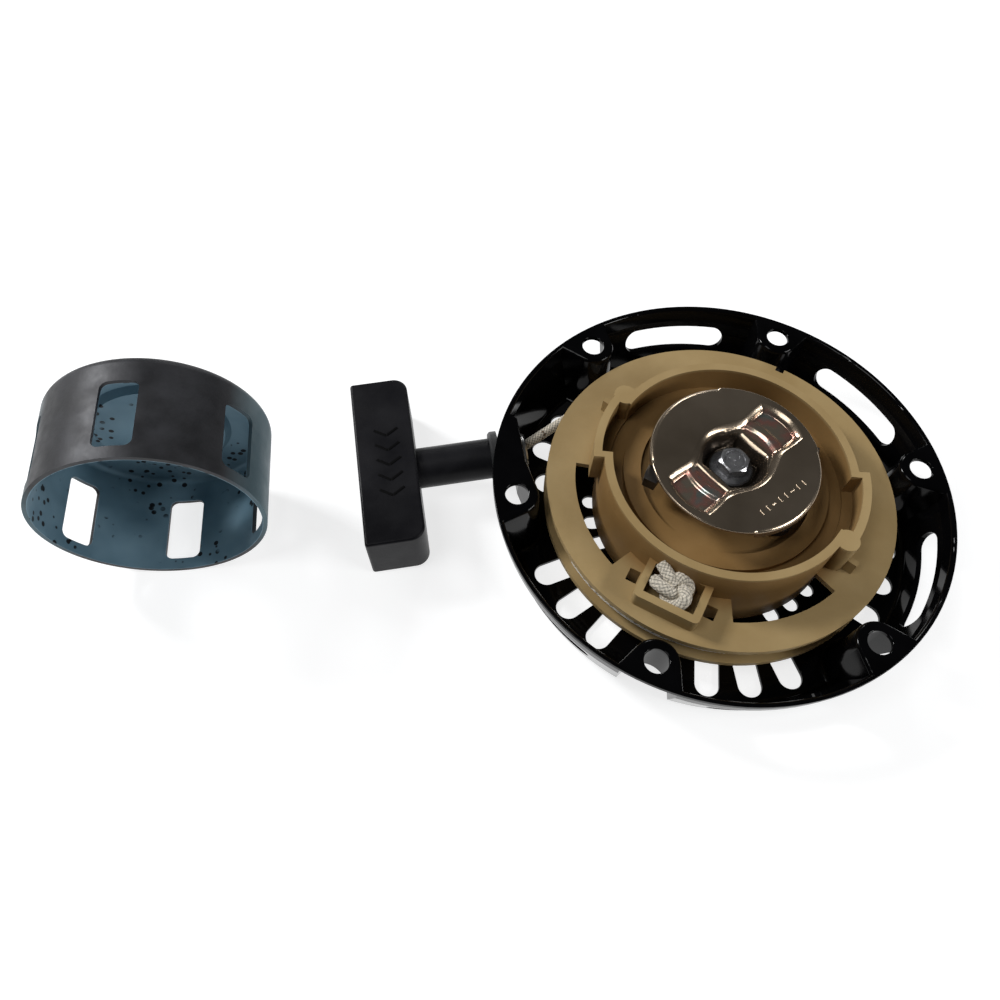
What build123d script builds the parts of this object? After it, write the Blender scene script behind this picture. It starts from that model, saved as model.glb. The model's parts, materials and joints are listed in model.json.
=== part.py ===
from build123d import *
import math
import os

os.makedirs("parts", exist_ok=True)

# Recoil starter for a small engine, with its starter cup beside it.
# Frame: origin at the centre of the six-bolt circle on the mounting plane,
# +Z towards the engine, first bolt on +X.  The rope leaves towards -X.

# ---------------------------------------------------------------- dimensions
SHEET = 1.6            # pressed-steel thickness
RIM_R = 86.0           # outside radius of the pan
PCD = 155.0            # bolt circle
BOLT_HOLE_D = 8.6
WALL_TOP_R = 84.2      # inside of the wall at the mounting plane
FLOOR_R = 77.0         # inside of the wall at the floor
PAN_DEPTH = 25.4       # mounting plane to inside of the floor
PAD_NOSE_R = 8.0       # rounded inner end of each bolt pad, about its hole
PAD_FLARE = 22.0       # degrees, each flank of a pad opens to the rim
PAD_DRAFT = 5.0        # degrees
CREASE_R, FLOOR_FILLET_R, BACK_FILLET_R = 1.5, 2.0, 2.5
VENT_W, VENT_R0, VENT_R1, VENT_STEP = 8.8, 57.0, 74.5, 12.7
INNER_W, INNER_R0, INNER_R1, INNER_STEP = 5.6, 41.0, 49.5, 11.4
SLOT_HALF_ANGLE, SLOT_Z0, SLOT_Z1 = 15.0, -18.3, -8.5

POST_R = 8.0
POST_TOP = 5.9
PULLEY_BORE_R = 8.05
FLANGE_R = 65.7        # rope flanges of the pulley
FLANGE_TOP = -4.0
FLANGE_T = 2.2
GROOVE_BOTTOM = -14.8
PULLEY_BOTTOM = -17.0
DRUM_R = 57.0          # bottom of the rope groove
DRUM_IN_R = 55.0
RING_R0, RING_R1, RING_TOP = 43.3, 46.3, 11.2
SPRING_CAVITY_BOTTOM = -21.0
COVER_SCREW_R = 41.3
FLOOR_T = 2.5          # channel floor, top face at z = 0
STEP_R0, STEP_R1, STEP_TOP = 31.6, 38.0, 2.4      # low step of the floor round the pawls
SLEEVE_R, SLEEVE_TOP, SLEEVE_BOTTOM = 13.0, 4.0, -6.1
POCKET_R0, POCKET_R1 = 47.2, 50.2
POCKET_A0, POCKET_A1 = 138.0, 169.0
BOX_ANGLE, BOX_W, BOX_R, BOX_WALL, BOX_TOP = 236.5, 24.0, 60.5, 2.8, 3.0

PAWL_PIVOT_R, PAWL_PIVOT_A = 23.2, 124.0
PAWL_TIP_R, PAWL_TIP_A = 32.0, 190.0
PAWL_Z0, PAWL_Z1 = 7.6, 12.2
PAWL_PIN_R = 2.4

PLATE_R, PLATE_T, PLATE_TOP = 30.8, 1.4, 16.3
CHANNEL_FLOOR = 14.2   # top face of the sunk channel across the plate
RECESS_FLOOR = 8.5     # top face of the deep recess round the bolt

ROPE_D = 3.8
WIND_R = 61.4          # centre of the outer rope turn
ROPE_Z = -10.5
PULL_A = 183.0         # direction in which the handle is pulled
HANDLE_Z, HANDLE_TILT = -15.15, 4.2   # the handle rests on its bar, its stem rises to the guide
BAR_X, BAR_Y = -123.3, 21.7
BAR_L, BAR_W, BAR_H = 72.0, 22.0, 22.0
STEM_R = 7.75
STEM_END = 40.3        # stem end, from the bar's centre towards the pan

CUP_X, CUP_Y = -202.9, -8.1
CUP_R, CUP_T, CUP_L, CUP_BORE_R = 38.2, 1.6, 39.6, 8.0
CUP_YAW = -0.8
CUP_WINDOW_A0 = 32.5
Z_BACK = -(PAN_DEPTH + SHEET)


def polar(r, a, z=0.0):
    return (r * math.cos(math.radians(a)), r * math.sin(math.radians(a)), z)


def ray_plane(a):
    """Half-plane sketch plane through the Z axis at angle a: x is radius, y is height."""
    c, s = math.cos(math.radians(a)), math.sin(math.radians(a))
    return Plane(origin=(0, 0, 0), x_dir=(c, s, 0), z_dir=(s, -c, 0))


def segment(r0, r1, z0, z1, a0, a1, mode=Mode.ADD):
    """Ring segment between two radii, two heights and two angles."""
    with BuildSketch(ray_plane(a0)) as sk:
        with BuildLine():
            Polyline((r0, z0), (r1, z0), (r1, z1), (r0, z1), close=True)
        make_face()
    revolve(sk.sketch, axis=Axis.Z, revolution_arc=a1 - a0, mode=mode)


def ring(r0, r1, z0, z1, mode=Mode.ADD):
    segment(r0, r1, z0, z1, 0, 360, mode)


def save(part, name):
    part.label = name
    export_step(part, "parts/" + name + ".step")


def level_edges(builder, z):
    """Edges that lie in the horizontal plane at height z."""
    return [e for e in builder.edges()
            if abs(e.bounding_box().max.Z - z) < 1e-3 and abs(e.bounding_box().min.Z - z) < 1e-3]


def radius_of(e):
    m = e @ 0.5
    return math.hypot(m.X, m.Y)


def pad_outline(angle, shrink=0.0):
    """Bolt pad in plan: a rounded nose about the hole, opening to past the rim."""
    rho = PAD_NOSE_R - shrink
    f = math.radians(PAD_FLARE)
    c = PCD / 2
    t = (c - rho * math.sin(f), rho * math.cos(f))
    run = (96.0 - t[0]) / math.cos(f)
    e = (96.0, t[1] + run * math.sin(f))
    pl = Plane(origin=(0, 0, 0), x_dir=polar(1, angle), z_dir=(0, 0, 1))
    return pl, t, e, (c - rho, 0)


# Guide pad: the pan wall is set inwards where the rope leaves, square to the pull.
PULL = math.radians(PULL_A)
AX = (math.cos(PULL - math.pi), math.sin(PULL - math.pi))      # from the handle to the pan
NY = (-AX[1], AX[0])
def on_axis(x, side=0.0):
    """Point on the pull axis at a given x, moved sideways."""
    s = (x - BAR_X) / AX[0]
    return (BAR_X + s * AX[0] + side * NY[0], BAR_Y + s * AX[1] + side * NY[1])
GUIDE_X = -73.0
RISE = math.tan(math.radians(HANDLE_TILT))


def on_pull(x):
    """Point on the centre line of handle and guide at a given x."""
    p = on_axis(x)
    return (p[0], p[1], HANDLE_Z + RISE * (x - BAR_X) / AX[0])


def tilted(part):
    """Parts of the pull line are built level, then tilted together about the middle of the handle's bar."""
    return part.rotate(Axis((BAR_X, BAR_Y, HANDLE_Z), (NY[0], NY[1], 0)), -HANDLE_TILT)


GC, GD = on_axis(GUIDE_X, -10.0), on_axis(GUIDE_X, 9.5)
GUIDE_PTS = [(-96, -2), (-71.5, -2), (-69.5, 2.0), GC, GD, (-80.5, 41.0), (-96, 48)]
GUIDE_IN = [(-96, -2), (-73.2, -2), (-71.2, 2.6),
            (GC[0] - 1.65, GC[1] + 0.3), (GD[0] - 1.65, GD[1] - 0.5), (-81.6, 39.0), (-96, 46)]

# ---------------------------------------------------------------- housing_shell
with BuildPart() as cavity:                       # room inside the pressing
    with BuildSketch(Plane.XZ):
        with BuildLine():
            Polyline((0, 0.5), (WALL_TOP_R + 0.15, 0.5), (WALL_TOP_R, 0), (83.4, -6.0),
                     (FLOOR_R, -PAN_DEPTH), (0, -PAN_DEPTH), close=True)
        make_face()
    revolve(axis=Axis.Z)
    for i in range(6):
        pl, t, e, nose = pad_outline(60 * i)
        with BuildSketch(pl.offset(1.0)):
            with BuildLine():
                Line(e, t)
                ThreePointArc(t, nose, (t[0], -t[1]))
                Line((t[0], -t[1]), (e[0], -e[1]))
                Line((e[0], -e[1]), e)
            make_face()
        extrude(amount=-30, taper=-PAD_DRAFT, mode=Mode.SUBTRACT)
    with BuildSketch(Plane.XY.offset(1.0)):
        with BuildLine():
            Polyline(*GUIDE_PTS, close=True)
        make_face()
    extrude(amount=-30, mode=Mode.SUBTRACT)

with BuildPart() as housing_shell:
    ring(0, RIM_R, -SHEET, 0)
    with BuildSketch(Plane.XZ):
        with BuildLine():
            Polyline((0, -SHEET), (RIM_R - 0.2, -SHEET), (85.0, -6.6), (FLOOR_R + 1.5, Z_BACK),
                     (0, Z_BACK), close=True)
        make_face()
    revolve(axis=Axis.Z)
    add(cavity.part, mode=Mode.SUBTRACT)
    for i in range(6):                            # open underside of the pads
        pl, t, e, nose = pad_outline(60 * i, SHEET)
        with BuildSketch(pl.offset(-SHEET)):
            with BuildLine():
                Line(e, t)
                ThreePointArc(t, nose, (t[0], -t[1]))
                Line((t[0], -t[1]), (e[0], -e[1]))
                Line((e[0], -e[1]), e)
            make_face()
        extrude(amount=-30, taper=-PAD_DRAFT, mode=Mode.SUBTRACT)
    with BuildSketch(Plane.XY.offset(-SHEET)):
        with BuildLine():
            Polyline(*GUIDE_IN, close=True)
        make_face()
    extrude(amount=-30, mode=Mode.SUBTRACT)
    # rounded creases of the pressing: rim to wall, wall to floor, and the floor's outside edge
    fillet([e for e in level_edges(housing_shell, 0) if radius_of(e) < RIM_R - 0.1], CREASE_R)
    fillet(level_edges(housing_shell, -PAN_DEPTH), FLOOR_FILLET_R)
    fillet(level_edges(housing_shell, Z_BACK), BACK_FILLET_R)
    fillet([e for e in level_edges(housing_shell, 0) if radius_of(e) > RIM_R - 0.1], 0.3)
    with BuildSketch(Plane.XY.offset(1.0)):       # bolt holes
        with PolarLocations(PCD / 2, 6):
            Circle(BOLT_HOLE_D / 2)
    extrude(amount=-4, mode=Mode.SUBTRACT)
    fillet([e for e in level_edges(housing_shell, 0)
            if abs(radius_of(e) - PCD / 2) < 6 and e.length > 20], 0.5)
    with BuildSketch(Plane.XY.offset(-PAN_DEPTH + 1)):   # floor vents, three to a sector
        for k in range(6):
            for j in (-1, 0, 1):
                a = 30 + 60 * k + j * VENT_STEP
                r1 = 69.0 if (k == 2 and j == 1) else VENT_R1
                r0 = VENT_R0
                mid = (r0 + r1) / 2
                with Locations(Location(polar(mid, a), a)):
                    SlotOverall(r1 - r0, VENT_W)
        for k in range(6):
            for j in (-1, 0, 1):
                a = 60 * k + j * INNER_STEP
                mid = (INNER_R0 + INNER_R1) / 2
                with Locations(Location(polar(mid, a), a)):
                    SlotOverall(INNER_R1 - INNER_R0, INNER_W)
        Circle(7.0)
        with PolarLocations(13.0, 3, start_angle=90):
            Circle(2.05)
    extrude(amount=-4, mode=Mode.SUBTRACT)
    fillet([e for e in level_edges(housing_shell, -PAN_DEPTH) if 38 < radius_of(e) < 74.8 and e.length < 30], 0.4)
    half = (SLOT_Z1 - SLOT_Z0) / 2
    zmid = (SLOT_Z1 + SLOT_Z0) / 2
    end_in = math.degrees(half / 82.0)
    for k in (0, 1, 3, 4, 5):                     # long arc slots in the wall
        a = 30 + 60 * k
        segment(74, 95, SLOT_Z0, SLOT_Z1, a - SLOT_HALF_ANGLE + end_in,
                a + SLOT_HALF_ANGLE - end_in, Mode.SUBTRACT)
        for s in (-1, 1):
            aa = a + s * (SLOT_HALF_ANGLE - end_in)
            with Locations(Plane(origin=polar(74, aa, zmid), z_dir=polar(1, aa))):
                Cylinder(half, 20, align=(Align.CENTER, Align.CENTER, Align.MIN), mode=Mode.SUBTRACT)
    with Locations(Plane(origin=on_pull(-90), z_dir=(AX[0], AX[1], RISE))):
        Cylinder(7.05, 30, align=(Align.CENTER, Align.CENTER, Align.MIN), mode=Mode.SUBTRACT)
print("housing solids", len(housing_shell.part.solids()))
save(housing_shell.part, "housing_shell")

# ---------------------------------------------------------------- centre post and its rivets
with BuildPart() as centre_post:
    ring(0, 16.0, -PAN_DEPTH, -23.4)
    ring(0, 6.9, Z_BACK + 0.1, -PAN_DEPTH)
    ring(0, 9.5, -23.4, -7.0)
    ring(0, POST_R, -7.0, POST_TOP)
    with BuildSketch(Plane.XY.offset(POST_TOP)):
        Circle(3.05)
    extrude(amount=-26, mode=Mode.SUBTRACT)
    with BuildSketch(Plane.XY.offset(-20.5)):     # slot for the mainspring's inner end
        with Locations((9.5, 0)):
            Rectangle(5.0, 1.6)
    extrude(amount=12, mode=Mode.SUBTRACT)
    with BuildSketch(Plane.XY.offset(-23.0)):
        with PolarLocations(13.0, 3, start_angle=90):
            Circle(2.05)
    extrude(amount=-4, mode=Mode.SUBTRACT)
save(centre_post.part, "centre_post")

with BuildPart() as post_rivets:
    with BuildSketch(Plane.XY.offset(Z_BACK)):
        with PolarLocations(13.0, 3, start_angle=90):
            Circle(2.0)
    extrude(amount=-Z_BACK - 23.4)
    with PolarLocations(13.0, 3, start_angle=90):
        with Locations((0, 0, -23.4)):
            Cylinder(2.9, 1.1, align=(Align.CENTER, Align.CENTER, Align.MIN))
save(post_rivets.part, "post_rivets")

with BuildPart() as thrust_washer:
    ring(8.1, 12.6, -7.0, -6.2)
save(thrust_washer.part, "thrust_washer")

# ---------------------------------------------------------------- mainspring, flat spiral strip
with BuildPart() as mainspring:
    T_STRIP, PITCH = 0.6, 2.5
    with BuildSketch(Plane.XY.offset(-19.2)):
        with BuildLine():
            r, n = 10.6, 22
            # half turns about two alternating centres make the spiral
            cx, sgn = 0.0, 1
            ins, outs = [], []
            for h in range(n):
                ins.append((cx, r, sgn))
                outs.append((cx, r + T_STRIP, sgn))
                # next half turn is half a pitch wider, its centre moves half a pitch back
                nr = r + PITCH / 2
                ncx = cx + sgn * (PITCH / 2)
                cx, r, sgn = ncx, nr, -sgn
            for c_, r_, s_ in ins:
                ThreePointArc((c_ + s_ * r_, 0), (c_, s_ * r_), (c_ - s_ * r_, 0))
            c_, r_, s_ = ins[-1]
            Line((c_ - s_ * r_, 0), (c_ - s_ * (r_ + T_STRIP), 0))
            for c_, r_, s_ in reversed(outs):
                ThreePointArc((c_ - s_ * r_, 0), (c_, s_ * r_), (c_ + s_ * r_, 0))
            Line((outs[0][0] + outs[0][1], 0), (ins[0][0] + ins[0][1], 0))
        make_face()
    extrude(amount=8.6)
print("mainspring outer", mainspring.part.bounding_box())
save(mainspring.part, "mainspring")

# ---------------------------------------------------------------- pulley
with BuildPart() as pulley:
    ring(RING_R0, RING_R1, SPRING_CAVITY_BOTTOM, RING_TOP)
    ring(SLEEVE_R - 0.5, RING_R0 + 0.2, -FLOOR_T, 0)
    ring(PULLEY_BORE_R, SLEEVE_R, SLEEVE_BOTTOM, SLEEVE_TOP)
    ring(STEP_R0, STEP_R1 + 0.4, -0.1, STEP_TOP)
    ring(DRUM_IN_R, DRUM_R, PULLEY_BOTTOM, FLANGE_TOP)
    ring(RING_R1 - 0.2, FLANGE_R, FLANGE_TOP - FLANGE_T, FLANGE_TOP)
    ring(DRUM_R - 0.2, FLANGE_R, PULLEY_BOTTOM, GROOVE_BOTTOM)
    for s in (0, 180):
        # pawl pocket: the ring steps out over the pawl's tip
        segment(RING_R0, POCKET_R1, FLANGE_TOP, RING_TOP, POCKET_A0 - 3 + s, POCKET_A1 + 3 + s)
        segment(RING_R0 - 1, POCKET_R0, 1.0, RING_TOP + 1, POCKET_A0 + s, POCKET_A1 + s, Mode.SUBTRACT)
        with Locations(polar(47.3, POCKET_A0 - 3.2 + s, FLANGE_TOP)):
            Cylinder(4.2, RING_TOP - FLANGE_TOP, align=(Align.CENTER, Align.CENTER, Align.MIN))
        # stiffening rib outside the pocket
        segment(POCKET_R1 - 0.5, 55.0, FLANGE_TOP, 2.0, POCKET_A0 - 4 + s, POCKET_A0 - 1.6 + s)
        # boss under each pawl
        with Locations(polar(PAWL_PIVOT_R, PAWL_PIVOT_A + s, -0.1)):
            Cylinder(5.5, 7.4, align=(Align.CENTER, Align.CENTER, Align.MIN))
    # the ring wall is thickened only outside the cup's path
    ring(STEP_R1, RING_R0, 0.001, RING_TOP + 2, Mode.SUBTRACT)
    for s in (0, 180):
        with Locations(polar(PAWL_PIVOT_R, PAWL_PIVOT_A + s, -1.0)):
            Cylinder(PAWL_PIN_R + 0.02, 12, align=(Align.CENTER, Align.CENTER, Align.MIN), mode=Mode.SUBTRACT)
    # open windows between the ring and the rope drum
    segment(RING_R1, DRUM_IN_R, -12, -3.0, 165, 212, Mode.SUBTRACT)
    segment(RING_R1, DRUM_IN_R, -12, -3.0, 261, 304, Mode.SUBTRACT)
    # rope anchor box on the flange
    bp = Plane(origin=(0, 0, FLANGE_TOP - 0.1), x_dir=polar(1, BOX_ANGLE), z_dir=(0, 0, 1))
    with BuildSketch(bp):
        with Locations((BOX_R - 8, 0)):
            RectangleRounded(16, BOX_W, 2.0)
        with Locations((BOX_R - 14, 0)):
            Rectangle(4, BOX_W)
        with Locations(((45.9 + BOX_R - BOX_WALL) / 2, 0)):
            Rectangle(BOX_R - BOX_WALL - 45.9, BOX_W - 2 * BOX_WALL, mode=Mode.SUBTRACT)
        Circle(RING_R1 - 0.5, mode=Mode.SUBTRACT)
    extrude(amount=BOX_TOP - FLANGE_TOP + 0.1)
    with BuildSketch(bp.offset(-4)):              # rope hole in the box's floor and two core holes
        with Locations((51.0, 4.5)):
            Circle(2.3)
        with Locations((50.5, -BOX_W / 2 - 2.6), (50.5, BOX_W / 2 + 2.6)):
            Rectangle(5.0, 4.0)
    extrude(amount=5, mode=Mode.SUBTRACT)
    # balance notch in the rim of the top flange
    with BuildSketch(Plane(origin=(0, 0, FLANGE_TOP + 1), x_dir=polar(1, 55), z_dir=(0, 0, 1))):
        with Locations((FLANGE_R, 0)):
            Rectangle(4.0, 3.4)
    extrude(amount=-5, mode=Mode.SUBTRACT)
    ring(39.4, RING_R0 + 0.1, SPRING_CAVITY_BOTTOM + 1.0, SPRING_CAVITY_BOTTOM + 1.0 + 4.6)
    with PolarLocations(COVER_SCREW_R, 3, start_angle=30):
        with Locations((0, 0, SPRING_CAVITY_BOTTOM + 0.9)):
            Cylinder(1.1, 8, align=(Align.CENTER, Align.CENTER, Align.MIN), mode=Mode.SUBTRACT)
print("pulley solids", len(pulley.part.solids()))
save(pulley.part, "pulley")

with BuildPart() as spring_cover:
    ring(17.5, RING_R0 - 0.1, SPRING_CAVITY_BOTTOM, SPRING_CAVITY_BOTTOM + 0.9)
    with BuildSketch(Plane.XY.offset(SPRING_CAVITY_BOTTOM - 1)):
        with PolarLocations(COVER_SCREW_R, 3, start_angle=30):
            Circle(1.1)
        with PolarLocations(29, 6):
            Circle(4.0)
    extrude(amount=3, mode=Mode.SUBTRACT)
save(spring_cover.part, "spring_cover")

with BuildPart() as spring_cover_screws:
    with PolarLocations(COVER_SCREW_R, 3, start_angle=30):
        with Locations((0, 0, SPRING_CAVITY_BOTTOM - 0.8)):
            Cylinder(1.05, 5.0, align=(Align.CENTER, Align.CENTER, Align.MIN))
        with Locations((0, 0, SPRING_CAVITY_BOTTOM - 0.85)):
            Cylinder(1.9, 0.85, align=(Align.CENTER, Align.CENTER, Align.MIN))
save(spring_cover_screws.part, "spring_cover_screws")

# ---------------------------------------------------------------- pawls, pins and springs
with BuildPart() as pawl_pins:
    for s in (0, 180):
        with Locations(polar(PAWL_PIVOT_R, PAWL_PIVOT_A + s, -0.9)):
            Cylinder(PAWL_PIN_R, 13.0, align=(Align.CENTER, Align.CENTER, Align.MIN))
save(pawl_pins.part, "pawl_pins")


def pawl_sketch(s):
    p = polar(PAWL_PIVOT_R, PAWL_PIVOT_A + s)
    t = polar(PAWL_TIP_R, PAWL_TIP_A + s)
    ang = math.degrees(math.atan2(t[1] - p[1], t[0] - p[0]))
    length = math.dist(p[:2], t[:2])
    return Plane(origin=(p[0], p[1], PAWL_Z0), x_dir=polar(1, ang), z_dir=(0, 0, 1)), length


for label, s in (("pawl_a", 0), ("pawl_b", 180)):
    with BuildPart() as pawl:
        pl, length = pawl_sketch(s)
        with BuildSketch(pl):
            with BuildLine():
                # slightly bowed finger with a square driving tip
                l1 = Line((0, -5.0), (length - 3.0, -3.4))
                l2 = Line(l1 @ 1, (length, -2.6))
                l3 = Line(l2 @ 1, (length, 2.0))
                l4 = Line(l3 @ 1, (length - 9.0, 2.6))
                l5 = Line(l4 @ 1, (0, 5.0))
                ThreePointArc(l5 @ 1, (-5.0, 0), l1 @ 0)
            make_face()
            Circle(PAWL_PIN_R + 0.06, mode=Mode.SUBTRACT)
        extrude(amount=PAWL_Z1 - PAWL_Z0)
    save(pawl.part, label)

for label, s in (("pawl_spring_a", 0), ("pawl_spring_b", 180)):
    with BuildPart() as pawl_spring:
        pl, length = pawl_sketch(s)
        c = polar(PAWL_PIVOT_R, PAWL_PIVOT_A + s)
        with BuildSketch(Plane(origin=(c[0], c[1], 2.6), x_dir=pl.x_dir, z_dir=(0, 0, 1))):
            Circle(6.6)
            Circle(5.6, mode=Mode.SUBTRACT)
        extrude(amount=3.6)
        with BuildSketch(Plane(origin=(c[0], c[1], 5.2), x_dir=pl.x_dir, z_dir=(0, 0, 1))):
            with Locations((7.0, 6.1)):
                Rectangle(14.0, 1.0)
        extrude(amount=1.0)
        with BuildSketch(Plane(origin=(c[0], c[1], 5.2), x_dir=pl.x_dir, z_dir=(0, 0, 1))):
            with Locations((13.5, 6.1)):
                Rectangle(1.0, 1.0)
        extrude(amount=5.0)
    save(pawl_spring.part, label)

# ---------------------------------------------------------------- friction plate and its clamp
CH = 35.0       # direction of the sunk channel across the plate, degrees
with BuildPart() as friction_plate:
    ring(0, PLATE_R, PLATE_TOP - PLATE_T, PLATE_TOP)
    for s in (0, 180):                            # turned-down lips
        segment(PLATE_R - 1.4, PLATE_R, 12.5, PLATE_TOP - 0.2, 88 + s, 181 + s)
    with BuildSketch(Plane.XZ):                   # cup of the deep recess
        with BuildLine():
            Polyline((0, RECESS_FLOOR - PLATE_T), (10.3, RECESS_FLOOR - PLATE_T), (14.0, PLATE_TOP - 0.5),
                     (0, PLATE_TOP - 0.5), close=True)
        make_face()
    revolve(axis=Axis.Z)
    cp = Plane(origin=(0, 0, CHANNEL_FLOOR - 1.4), x_dir=polar(1, CH), z_dir=(0, 0, 1))
    with BuildSketch(cp):
        with Locations((18.7, 0), (-18.7, 0)):
            RectangleRounded(19.0, 20.0, 2.5)
    extrude(amount=PLATE_TOP - PLATE_T - CHANNEL_FLOOR + 1.4)
    with BuildSketch(cp.offset(1.4)):
        with Locations((18.3, 0), (-18.3, 0)):
            RectangleRounded(17.2, 17.0, 2.0)
    extrude(amount=6, mode=Mode.SUBTRACT)
    with BuildSketch(Plane.XZ):
        with BuildLine():
            Polyline((0, RECESS_FLOOR), (9.2, RECESS_FLOOR), (12.9, PLATE_TOP + 0.4), (0, PLATE_TOP + 0.4), close=True)
        make_face()
    revolve(axis=Axis.Z, mode=Mode.SUBTRACT)
    with BuildSketch(Plane.XY.offset(RECESS_FLOOR - 4)):
        Circle(3.2)
    extrude(amount=8, mode=Mode.SUBTRACT)
print("plate solids", len(friction_plate.part.solids()))
save(friction_plate.part, "friction_plate")

with BuildPart() as friction_spring:              # conical spring washer under the plate
    with BuildSketch(Plane.XZ):
        with BuildLine():
            Polyline((8.5, 6.8), (9.3, 6.8), (12.6, 4.9), (12.6, 4.1), (11.9, 4.1), (8.5, 6.0), close=True)
        make_face()
    revolve(axis=Axis.Z)
save(friction_spring.part, "friction_spring")

with BuildPart() as plate_washer:                 # spacer between post and plate
    ring(3.15, 7.4, POST_TOP, RECESS_FLOOR - PLATE_T)
save(plate_washer.part, "plate_washer")

with BuildPart() as centre_bolt:
    z0 = RECESS_FLOOR
    ring(0, 3.0, -8.0, z0)
    with BuildSketch(Plane.XZ):                   # flange with a sloping top
        with BuildLine():
            Polyline((0, z0), (7.9, z0), (7.9, z0 + 0.7), (7.4, z0 + 1.1), (5.2, z0 + 1.6), (0, z0 + 1.6), close=True)
        make_face()
    revolve(axis=Axis.Z)
    with BuildSketch(Plane.XY.offset(z0 + 1.0)):
        RegularPolygon(5.0, 6, major_radius=False)
    extrude(amount=5.0)
    with BuildSketch(Plane.XZ):                   # corners turned off at the top of the hexagon
        with BuildLine():
            Polyline((4.6, z0 + 6.05), (6.2, z0 + 6.05), (6.2, z0 + 4.9), close=True)
        make_face()
    revolve(axis=Axis.Z, mode=Mode.SUBTRACT)
    with BuildSketch(Plane.XY.offset(z0 + 6.0)):
        Circle(3.9)
    extrude(amount=-0.5, taper=25, mode=Mode.SUBTRACT)
save(centre_bolt.part, "centre_bolt")

# ---------------------------------------------------------------- rope guide bush
LEVEL = (BAR_X, BAR_Y, HANDLE_Z)
BUSH_OUT, BUSH_WALL, BUSH_IN = -84.2, -74.7, -70.4
with BuildPart() as rope_guide_bush:
    with BuildSketch(Plane(origin=LEVEL, x_dir=(AX[0], AX[1], 0), z_dir=(AX[1], -AX[0], 0))):
        k = 1 / AX[0]
        b0, b1, b2, b3 = [(v - BAR_X) * k for v in (BUSH_OUT, BUSH_OUT + 3.2, BUSH_WALL - 0.1, BUSH_IN)]
        with BuildLine():
            Polyline((b0, 2.3), (b0, 9.4), (b0 + 0.8, 10.2), (b1, 10.2), (b1, 7.6), (b2 - 1.2, 7.6),
                     (b2 - 1.2, 7.0), (b3, 7.0), (b3, 5.9), (b3 - 6.6, 2.3), close=True)
        make_face()
    revolve(axis=Axis(LEVEL, (AX[0], AX[1], 0)))
save(tilted(rope_guide_bush.part), "rope_guide_bush")

with BuildPart() as guide_eyelet:                 # steel ring that locks the bush from inside
    with BuildSketch(Plane(origin=LEVEL, x_dir=(AX[0], AX[1], 0), z_dir=(AX[1], -AX[0], 0))):
        e0, e1 = [(v - BAR_X) * k for v in (-72.2, -70.4)]
        with BuildLine():
            Polyline((e0, 7.05), (e0, 7.5), (e0 + 0.3, 7.8), (e1 - 0.6, 7.8), (e1, 7.4), (e1, 7.05), close=True)
        make_face()
    revolve(axis=Axis(LEVEL, (AX[0], AX[1], 0)))
save(tilted(guide_eyelet.part), "guide_eyelet")

# ---------------------------------------------------------------- rope
# The taut run leaves the drum on a tangent, bends in the guide, and enters the handle.
CORNER = on_pull(-77.0)
dx, dy = CORNER[0], CORNER[1]
dist = math.hypot(dx, dy)
tang = math.degrees(math.atan2(dy, dx)) - math.degrees(math.acos(WIND_R / dist))
FOOT = polar(WIND_R, tang, ROPE_Z)
ux, uy, uz = CORNER[0] - FOOT[0], CORNER[1] - FOOT[1], CORNER[2] - FOOT[2]
un = math.sqrt(ux * ux + uy * uy + uz * uz)
START = (FOOT[0] + ux / un * 23.0, FOOT[1] + uy / un * 23.0, FOOT[2] + uz / un * 23.0)
END = on_pull(BAR_X + (STEM_END - 1.2 + 0.02) * AX[0] * math.cos(math.radians(HANDLE_TILT)))   # at the mouth of the bush
BEND_R = 14.0
print("rope foot angle", round(tang, 2), "foot", FOOT, "start", START, "corner", CORNER, "bend radius", BEND_R)
with BuildPart() as rope_run:
    with BuildLine() as rope_path:
        FilletPolyline(START, CORNER, END, radius=BEND_R)
    with BuildSketch(Plane(origin=START, z_dir=(ux, uy, uz))):
        Circle(ROPE_D / 2)
    sweep(path=rope_path.wires()[0])
run_len = rope_path.wires()[0].length
print("rope run", round(run_len, 2), "volume check", round(rope_run.part.volume / (math.pi * ROPE_D ** 2 / 4 * run_len), 4))
save(rope_run.part, "rope_run")

with BuildPart() as rope_winding:                 # four turns lying on the drum
    with BuildSketch(Plane.XZ):
        with BuildLine():
            Polyline((DRUM_R + 0.05, GROOVE_BOTTOM + 0.1), (61.6, GROOVE_BOTTOM + 0.1), (62.95, -13.2),
                     (62.1, -12.0), (62.95, -10.5), (62.1, -9.0), (62.95, -7.8), (61.6, -6.3),
                     (DRUM_R + 0.05, -6.3), close=True)
        make_face()
    revolve(axis=Axis.Z)
save(rope_winding.part, "rope_winding")

with BuildPart() as rope_anchor_knot:
    kp = polar(52.0, BOX_ANGLE)
    with BuildSketch(Plane(origin=(0, 0, -3.8), x_dir=polar(1, BOX_ANGLE), z_dir=(0, 0, 1))):
        with Locations((52.0, 0)):
            RectangleRounded(10.6, 16.6, 4.6)
    extrude(amount=9.6)
    fillet(rope_anchor_knot.faces().sort_by(Axis.Z)[-1].edges(), 3.2)
save(rope_anchor_knot.part, "rope_anchor_knot")

# ---------------------------------------------------------------- handle
def pull_plane(dist_from_bar):
    """Plane square to the pull axis, at a distance from the bar's centre towards the pan."""
    return Plane(origin=(BAR_X + dist_from_bar * AX[0], BAR_Y + dist_from_bar * AX[1], HANDLE_Z),
                 x_dir=(NY[0], NY[1], 0), z_dir=(AX[0], AX[1], 0))


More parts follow.
